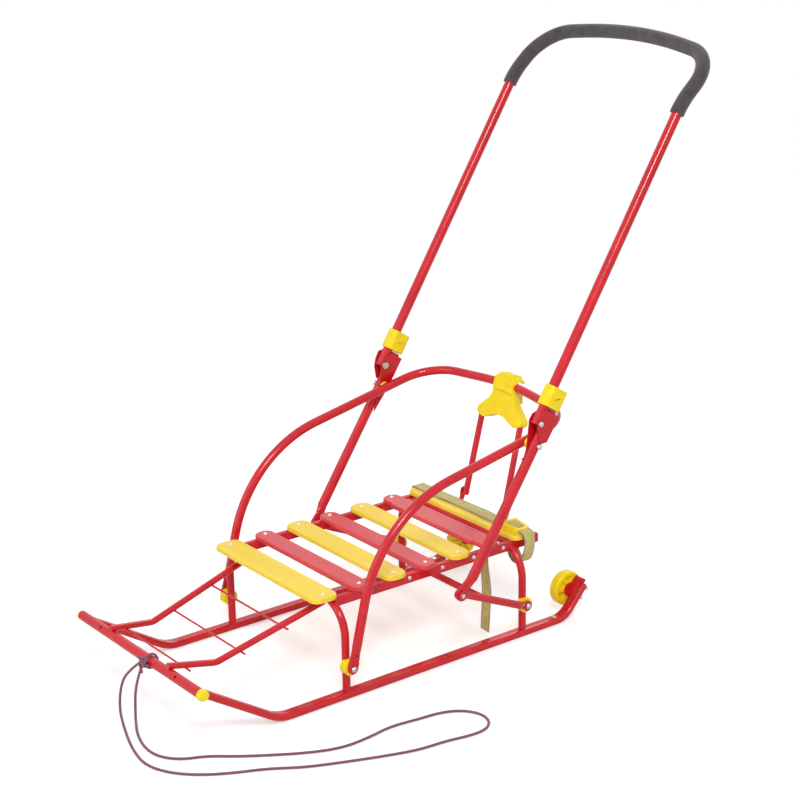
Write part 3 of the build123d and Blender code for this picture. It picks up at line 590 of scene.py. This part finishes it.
# Handle hinges: a bolt through both cheeks of each bracket and the foot of the pole, with
# a domed head outside and a lower one inside.
hinge_pivot = (-0.1053, 0.205, 0.36315)
hinge_bolt = turned("hinge_bolt", (
    (-0.0236, shank_radius), (-0.0236, 0.0055), (-0.0228, 0.0055), (-0.0210, 0.0055),
    (-0.0210, shank_radius), (0.0, shank_radius), (0.0, 0.0044), (0.0010, 0.0042),
    (0.0019, 0.0033), (0.0024, 0.0022), (0.0026, 0.0012)))
hinge_bolts = set_at(hinge_bolt, both_sides([hinge_pivot]), "hinge_domes")
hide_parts("handle_hinge_bolts")
fit(hinge_bolts, zinc, "push_bars")

# Lower pins: a small pale rivet a side through the push bar's foot and the link's eye,
# with a wide washer under its head that was painted with the bar.
pin_x, pin_z = 0.0379, 0.1208
pin_head_y, washer_y = 0.1942, 0.1922
lower_rivet = turned("lower_rivet", (
    (-0.0145, shank_radius), (-0.0145, 0.0040), (-0.0138, 0.0050), (-0.0120, 0.0050),
    (-0.0120, shank_radius), (0.0, shank_radius), (0.0, 0.0037), (0.0007, 0.0035),
    (0.0012, 0.0026), (0.0015, 0.0012)))
lower_rivets = set_at(lower_rivet, both_sides([(pin_x, pin_head_y, pin_z)]), "lower_rivets")
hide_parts("lower_pin_bolts")
fit(lower_rivets, zinc, "links")
washer = turned("lower_washer", (
    (0.0, 0.0076), (0.0004, 0.0080), (0.0014, 0.0080), (0.0020, 0.0073), (0.0020, 0.0042),
    (0.0018, 0.0034)))
washers = set_at(washer, both_sides([(pin_x, washer_y, pin_z)]), "lower_washers")
fit(washers, red_paint, "links")

# Tails: hexagon bolts under the wheel brackets, and one flat pale rivet a side on top of
# the runner where its tail starts to rise.
tail_rivet_place = (-0.178, 0.155, 0.011)
dress(zinc, "tail_bolts")
tail_rivet = turned("tail_rivet", (
    (-0.0015, 0.0024), (0.0, 0.0024), (0.0, 0.0044), (0.0005, 0.0043), (0.0009, 0.0036),
    (0.0011, 0.0018)), sides=22)
tail_rivets = set_at(tail_rivet, both_sides([tail_rivet_place], (0, 0, 1)), "tail_rivets")
fit(tail_rivets, zinc, "sled")

# Locking sleeves: thick moulded collars with rounded corners round the poles and the tops
# of the bars, which slide up before the handle folds.
sleeve_x, sleeve_y, sleeve_z = -0.1361, 0.1945, 0.3958
sleeve_lean = math.radians(-32.7)
sleeve_size = (0.036, 0.0240, 0.0320)
bore_radius = 0.0082
bore_forward = 0.0084


def block(name, size, place=(0, 0, 0)):
    """A plain block to shape, with its mesh open."""
    bpy.ops.object.select_all(action="DESELECT")
    bpy.ops.mesh.primitive_cube_add(size=1, location=place)
    piece = bpy.context.object
    piece.name = name
    piece.scale = size
    bpy.ops.object.transform_apply(location=True, rotation=True, scale=True)
    bpy.ops.object.mode_set(mode="EDIT")
    return piece


def pick(kind, wanted):
    """Selects the open mesh's verts, edges or faces that pass a test, and nothing else."""
    bpy.ops.mesh.select_mode(type={"verts": "VERT", "edges": "EDGE", "faces": "FACE"}[kind])
    bpy.ops.mesh.select_all(action="DESELECT")
    net = bmesh.from_edit_mesh(bpy.context.object.data)
    for item in getattr(net, kind):
        item.select = wanted(item)
    net.select_flush_mode()
    bmesh.update_edit_mesh(bpy.context.object.data)


def upright(edge):
    """Whether an edge runs along Z."""
    return abs((edge.verts[0].co - edge.verts[1].co).normalized().z) > 0.9


def step_faces(rim, rise):
    """Leaves a rim round the picked faces and moves what is inside it along Z."""
    bpy.ops.mesh.inset(thickness=rim)
    bpy.ops.mesh.extrude_region_move(TRANSFORM_OT_translate={"value": (0, 0, rise)})


def ease_edges(piece, width, segments, angle=30):
    """Closes a piece's mesh and rounds the edges that turn by more than an angle."""
    bpy.ops.object.mode_set(mode="OBJECT")
    eased = piece.modifiers.new("eased_edges", "BEVEL")
    eased.width = width
    eased.segments = segments
    eased.limit_method = "ANGLE"
    eased.angle_limit = math.radians(angle)
    bpy.ops.object.modifier_apply(modifier=eased.name)


def cut_away(piece, cutter):
    """Takes a cutter's form out of a piece and uses the cutter up."""
    take_up(cutter)
    bpy.ops.object.transform_apply(location=True, rotation=True, scale=True)
    take_up(piece)
    cut = piece.modifiers.new("cut_away", "BOOLEAN")
    cut.object = cutter
    cut.operation = "DIFFERENCE"
    bpy.ops.object.modifier_apply(modifier=cut.name)
    bpy.data.objects.remove(cutter)


sleeve = block("sleeve_collar", sleeve_size)
pick("edges", upright)
bpy.ops.mesh.bevel(offset=0.0085, segments=7, affect="EDGES")
pick("faces", lambda face: abs(face.normal.z) > 0.9)
step_faces(0.0026, 0)
bpy.ops.transform.resize(value=(1, 1, 0.94), center_override=(0, 0, 0))
ease_edges(sleeve, 0.0016, 3, angle=40)
bpy.ops.mesh.primitive_cylinder_add(vertices=40, radius=bore_radius, depth=0.06,
                                    location=(bore_forward, 0, 0))
cut_away(sleeve, bpy.context.object)
bpy.ops.object.shade_smooth_by_angle(angle=math.radians(35))
for side, label in ((1, "left"), (-1, "right")):
    collar = copied(sleeve, (sleeve_x, side * sleeve_y, sleeve_z), (0, sleeve_lean, 0))
    collar.name = "sleeve_collar_" + label
    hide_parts("lock_sleeve_" + label)
    fit(collar, yellow_plastic, "handle")
bpy.data.objects.remove(sleeve)

# Sleeve ribs: a short moulded rib with a sunken middle on each broad side of a sleeve, for
# the fingers that slide it.
rib_size = (0.0034, 0.013, 0.0018)
rib_outer_y, rib_inner_y = 0.2063, 0.1827
rib = block("sleeve_rib", rib_size)
pick("faces", lambda face: face.normal.z > 0.9)
step_faces(0.0008, -0.0007)
ease_edges(rib, 0.0003, 2)
ribs = set_at(rib, [((sleeve_x, side * y, sleeve_z), (0, side * out, 0))
                    for side in (1, -1) for y, out in ((rib_outer_y, 1), (rib_inner_y, -1))],
              "sleeve_ribs")
fit(ribs, yellow_plastic, "handle")

# Seat belt: khaki polyester webbing with grey selvedges, laid over the rear slat from under
# its far end and threaded into the buckle.
belt_width = 0.022
belt_thickness = 0.0014
belt_x = -0.135
belt_line = (
    # y, z, shift along x, tilt across
    (-0.1412, 0.1410, 0.0, 0.0), (-0.1415, 0.1500, 0.0, 0.0), (-0.1412, 0.1568, 0.0, 0.0),
    (-0.1385, 0.1603, 0.0, 0.0), (-0.1280, 0.1604, 0.0005, 0.0), (-0.0900, 0.1602, 0.001, 0.0),
    (-0.0500, 0.1610, 0.0, 0.02), (-0.0100, 0.1603, -0.001, 0.0), (0.0300, 0.1612, 0.0, -0.03),
    (0.0650, 0.1604, 0.001, 0.0), (0.0880, 0.1612, 0.0, 0.0), (0.1000, 0.1630, 0.0, 0.0),
)


def webbing_strip(name, stations, width=belt_width, steps=7, lanes=4):
    """Webbing through stations of (centre, direction across), as a thin closed strip with a
    UV map in metres; also gives its length."""
    spots = []
    last = len(stations) - 1
    for index in range(last):
        around = [stations[min(max(index + shift, 0), last)] for shift in (-1, 0, 1, 2)]
        for step in range(steps if index < last - 1 else steps + 1):
            share = step / steps
            blend = []
            for item in (0, 1):
                before, start, end, after = (Vector(station[item]) for station in around)
                blend.append(0.5 * (2 * start + (end - before) * share
                                    + (2 * before - 5 * start + 4 * end - after) * share ** 2
                                    + (3 * start - before - 3 * end + after) * share ** 3))
            spots.append(blend)
    shape = bmesh.new()
    cloth = shape.loops.layers.uv.new("cloth")
    rows = []
    run = 0
    for index, (centre, across) in enumerate(spots):
        if index:
            run += (centre - spots[index - 1][0]).length
        across = across.normalized()
        rows.append((run, [shape.verts.new(centre + across * width * (lane / lanes - 0.5))
                           for lane in range(lanes + 1)]))
    for (start, low), (end, high) in zip(rows, rows[1:]):
        for lane in range(lanes):
            face = shape.faces.new((low[lane], low[lane + 1], high[lane + 1], high[lane]))
            face.smooth = True
            left_edge, right_edge = (width * (lane + side) / lanes for side in (0, 1))
            for loop, corner in zip(face.loops, ((left_edge, start), (right_edge, start),
                                                 (right_edge, end), (left_edge, end))):
                loop[cloth].uv = corner
    mesh = bpy.data.meshes.new(name)
    shape.to_mesh(mesh)
    shape.free()
    strip = bpy.data.objects.new(name, mesh)
    bpy.context.scene.collection.objects.link(strip)
    take_up(strip)
    thicken = strip.modifiers.new("webbing_thickness", "SOLIDIFY")
    thicken.thickness = belt_thickness
    thicken.offset = 0
    bpy.ops.object.modifier_apply(modifier=thicken.name)
    return strip, run


# woven cloth: crossing threads of a flat band, with a plain selvedge down each side
weave, weave_in, weave_out = effect_group(
    "woven_band",
    (("Vector", "NodeSocketVector", None), ("Threads", "NodeSocketFloat", 1400.0),
     ("Width", "NodeSocketFloat", belt_width), ("Selvedge", "NodeSocketFloat", 0.0022)),
    (("Height", "NodeSocketFloat"), ("Edge", "NodeSocketFloat")))
parts = weave.nodes.new("ShaderNodeSeparateXYZ")
warp, weft = (calc(weave, "SINE", calc(weave, "MULTIPLY", parts.outputs[axis],
                                       weave_in.outputs["Threads"])) for axis in "XY")
woven = calc(weave, "ADD", calc(weave, "MULTIPLY", warp, weft),
             calc(weave, "MULTIPLY", warp, 0.5))
half = calc(weave, "MULTIPLY", weave_in.outputs["Width"], 0.5)
from_middle = calc(weave, "ABSOLUTE", calc(weave, "SUBTRACT", parts.outputs["X"], half))
plain_from = calc(weave, "SUBTRACT", half, weave_in.outputs["Selvedge"])
feed(weave,
     (parts.inputs[0], weave_in.outputs["Vector"]),
     (weave_out.inputs["Height"], calc(weave, "MULTIPLY_ADD", woven, 0.33, 0.5)),
     (weave_out.inputs["Edge"], calc(weave, "GREATER_THAN", from_middle, plain_from)))

webbing = finish_of(
    "webbing", deep=(0.56, 0.47, 0.115), pale=(0.78, 0.68, 0.24), patch=90, smooth=0.78,
    rough=0.92, depth=0.0004, coordinates="UV", Sheen_Weight=0.3, Sheen_Roughness=0.45)
# painted shade: a grey multiplied into the webbing's colour by the threads' relief height, so
# the weave is darker where its relief is high
thread_painted_shade = (0.72, 0.72, 0.66, 1)
selvedge_grey = (0.40, 0.39, 0.33, 1)
look = webbing.node_tree
band = look.nodes.new("ShaderNodeTexCoord")
threads = look.nodes.new("ShaderNodeGroup")
threads.node_tree = weave
painted_weave_shade = mixed(look, threads.outputs["Height"], look.nodes["drift"].outputs["Colour"],
               thread_painted_shade, blend="MULTIPLY")
feed(look,
     (threads.inputs["Vector"], band.outputs["UV"]),
     (look.nodes["relief"].inputs["Height"], threads.outputs["Height"]),
     (look.nodes["Principled BSDF"].inputs["Base Color"],
      mixed(look, threads.outputs["Edge"], painted_weave_shade, selvedge_grey)))

belt, belt_length = webbing_strip("seat_belt", [
    ((belt_x + shift, y, z), (1, 0, tilt)) for y, z, shift, tilt in belt_line])
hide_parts("belt_strap")
fit(belt, webbing, "sled")

# Buckle: one moulded body, wide at the belt's side and narrower at the other, with a
# sunken window in its top where the webbing shows.
buckle_size = (0.034, 0.041, 0.0086)
buckle_middle = (belt_x, 0.1115, 0.1631)
narrow_end_foot = (belt_x, 0.132, 0.1588)
window_width = 0.0135
buckle = block("buckle_body", buckle_size, buckle_middle)
pick("faces", lambda face: face.normal.y > 0.9)
bpy.ops.transform.resize(value=(0.72, 1, 0.8), center_override=narrow_end_foot)
pick("edges", upright)
bpy.ops.mesh.bevel(offset=0.006, segments=5, affect="EDGES")
pick("faces", lambda face: face.normal.z > 0.9)
step_faces(0.0022, 0.0005)
step_faces(0.0040, -0.0028)
ease_edges(buckle, 0.0007, 3)
bpy.ops.object.shade_smooth_by_angle(angle=math.radians(35))
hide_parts("belt_buckle")
fit(buckle, yellow_plastic, "sled")
shown, shown_length = webbing_strip("belt_in_buckle", [
    ((belt_x, y, z), (1, 0.12, 0)) for y, z in (
        (0.1010, 0.1653), (0.1050, 0.1660), (0.1110, 0.1664), (0.1170, 0.1660),
        (0.1220, 0.1652))], window_width)
fit(shown, webbing, "sled")

# Belt end at the left: the webbing leaves the buckle, hangs in a slack bight round the
# outside of the rail behind the rear leg, and comes up again under the slat.
bight, bight_length = webbing_strip("belt_bight", (
    ((-0.1340, 0.1260, 0.1632), (1, 0, 0)), ((-0.1340, 0.1360, 0.1634), (1, 0, 0)),
    ((-0.1330, 0.1450, 0.1600), (1, 0.1, 0)), ((-0.1325, 0.1480, 0.1500), (1, 0.1, 0.05)),
    ((-0.1325, 0.1455, 0.1340), (1, 0.05, 0.1)), ((-0.1330, 0.1370, 0.1170), (1, 0, 0.1)),
    ((-0.1330, 0.1250, 0.1090), (1, 0, 0)), ((-0.1325, 0.1130, 0.1150), (1, 0, -0.1)),
    ((-0.1320, 0.1060, 0.1290), (1, 0, -0.1)), ((-0.1320, 0.1015, 0.1430), (1, 0, 0)),
    ((-0.1320, 0.0950, 0.1500), (1, 0, 0)), ((-0.1320, 0.0830, 0.1506), (1, 0, 0)),
))
fit(bight, webbing, "sled")

# Belt's free end: passed up under the sixth slat and left to hang straight down inside
# the left runner, almost to the ground.
tail, tail_length = webbing_strip("belt_tail", (
    ((-0.0840, 0.1085, 0.1503), (0.1, 1, 0)), ((-0.0770, 0.1090, 0.1490), (0.1, 1, 0)),
    ((-0.0725, 0.1100, 0.1410), (0.1, 1, 0)), ((-0.0712, 0.1105, 0.1200), (0.1, 1, 0)),
    ((-0.0740, 0.1105, 0.0950), (0.05, 1, 0)), ((-0.0765, 0.1100, 0.0700), (0.0, 1, 0)),
    ((-0.0750, 0.1100, 0.0400), (0.05, 1, 0)), ((-0.0725, 0.1100, 0.0030), (0.1, 1, 0)),
))
fit(tail, webbing, "sled")

# Catch: one thick yellow moulding on the strut's head, narrow where it hooks the back
# rail from above and spread below into two lobes that hold the strut's legs.
catch_place = Vector((-0.2133, 0.0, 0.3524))
catch_lean = math.radians(-104.53)
catch_face, catch_thickness = -0.007, 0.016
catch_rows = (
    # height along the strut from the rail, half width, both in millimetres
    (-58, 51), (-53, 54), (-47.5, 53), (-41, 46), (-35, 39), (-26, 29), (-12, 24.8),
    (0, 24.5), (9, 24.2), (12, 22), (14, 17), (17, 14.5), (18.5, 12.5),
)
catch_arch = {
    # lane out from the middle: how far its three lowest points move up, in millimetres
    0: (8, 5, 3), 1: (6, 3.5, 2), 2: (0.5, 0.5, 0.5), 3: (-4, -2.5, -0.5),
}
half_rows = (len(catch_rows) - 1) / 2
half_lanes = 4
bpy.ops.object.select_all(action="DESELECT")
bpy.ops.mesh.primitive_grid_add(x_subdivisions=len(catch_rows) - 1,
                                y_subdivisions=2 * half_lanes, size=2,
                                location=(0, 0, catch_face))
catch = bpy.context.object
catch.name = "catch_body"
bpy.ops.object.transform_apply(location=True, rotation=True, scale=True)
row_of = {point.index: round((point.co.x + 1) * half_rows) for point in catch.data.vertices}
lane_of = {point.index: abs(round(point.co.y * half_lanes)) for point in catch.data.vertices}
bpy.ops.object.mode_set(mode="EDIT")
for row, (height, half_width) in enumerate(catch_rows):
    pick("verts", lambda point: row_of[point.index] == row)
    bpy.ops.transform.resize(value=(1, half_width / 1000, 1), center_override=(0, 0, 0))
    bpy.ops.transform.translate(value=(height / 1000 - (row / half_rows - 1), 0, 0))
for lane, lifts in catch_arch.items():
    for row, lift in enumerate(lifts):
        pick("verts", lambda point: row_of[point.index] == row
             and lane_of[point.index] == lane)
        bpy.ops.transform.translate(value=(lift / 1000, 0, 0))
bpy.ops.mesh.select_all(action="SELECT")
bpy.ops.mesh.extrude_region_move(TRANSFORM_OT_translate={"value": (0, 0, catch_thickness)})
bpy.ops.mesh.select_all(action="SELECT")
bpy.ops.mesh.normals_make_consistent(inside=False)
# both faces stand out round the rail, the rear one further
pick("faces", lambda face: face.normal.z < -0.9 and face.calc_center_median().x > -0.018)
step_faces(0.0012, -0.0038)
pick("faces", lambda face: face.normal.z > 0.9 and face.calc_center_median().x > -0.024)
step_faces(0.0012, 0.0055)
ease_edges(catch, 0.0016, 3, angle=40)
catch.rotation_euler = (0, catch_lean, 0)
catch.location = catch_place
bpy.ops.object.transform_apply(location=True, rotation=True, scale=True)

# cut out of it: the rail's seat, the mouth by which it leaves the rail, and a sunken mark
# across its front
rail_place = Vector((-0.218, 0, 0.3533))
seat_radius = 0.0079
mouth_turn = math.radians(217)
mouth_way = Vector((math.cos(mouth_turn), 0, math.sin(mouth_turn)))
catch_front = Vector((0.968, 0, 0.2504))
catch_up = Vector((-0.2504, 0, 0.968))
across_rail = (math.radians(90), 0, 0)
bpy.ops.mesh.primitive_cylinder_add(vertices=48, radius=seat_radius, depth=0.13,
                                    location=rail_place, rotation=across_rail)
cut_away(catch, bpy.context.object)
bpy.ops.mesh.primitive_cube_add(size=1, location=rail_place + mouth_way * 0.03,
                                rotation=(0, -mouth_turn, 0))
bpy.context.object.scale = (0.06, 0.13, 2 * seat_radius)
cut_away(catch, bpy.context.object)
bpy.ops.mesh.primitive_cylinder_add(
    vertices=24, radius=0.0021, depth=0.026,
    location=catch_place + catch_up * -0.0115 + catch_front * 0.0112, rotation=across_rail)
cut_away(catch, bpy.context.object)
bpy.ops.object.shade_smooth_by_angle(angle=math.radians(35))
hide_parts("strut_catch")
fit(catch, yellow_plastic, "strut")
catch_pin = turned("catch_pin", (
    (-0.003, 0.0024), (0.0, 0.0024), (0.0006, 0.0022), (0.0009, 0.0012)), sides=18)
catch_pins = set_at(catch_pin, both_sides([catch_place + catch_up * -0.014
                                           + Vector((0, 0.0249, 0))]), "catch_pins")
fit(catch_pins, zinc, "strut")

# Grip: a black-brown foam sleeve pushed over the handle's top, closed-cell with fine
# pores, matt and a little shiny where hands rub it.
foam = finish_of(
    "grip_foam", deep=(0.030, 0.023, 0.023), pale=(0.085, 0.068, 0.068), patch=70, smooth=0.72,
    rough=0.92, depth=0.0006, coarse=700, fine=1900, share=0.55, Sheen_Weight=0.25,
    Sheen_Roughness=0.6, Specular_IOR_Level=0.35)
dress(foam, "grip")

# Brings every placement in the scene up to date.
bpy.context.view_layer.update()
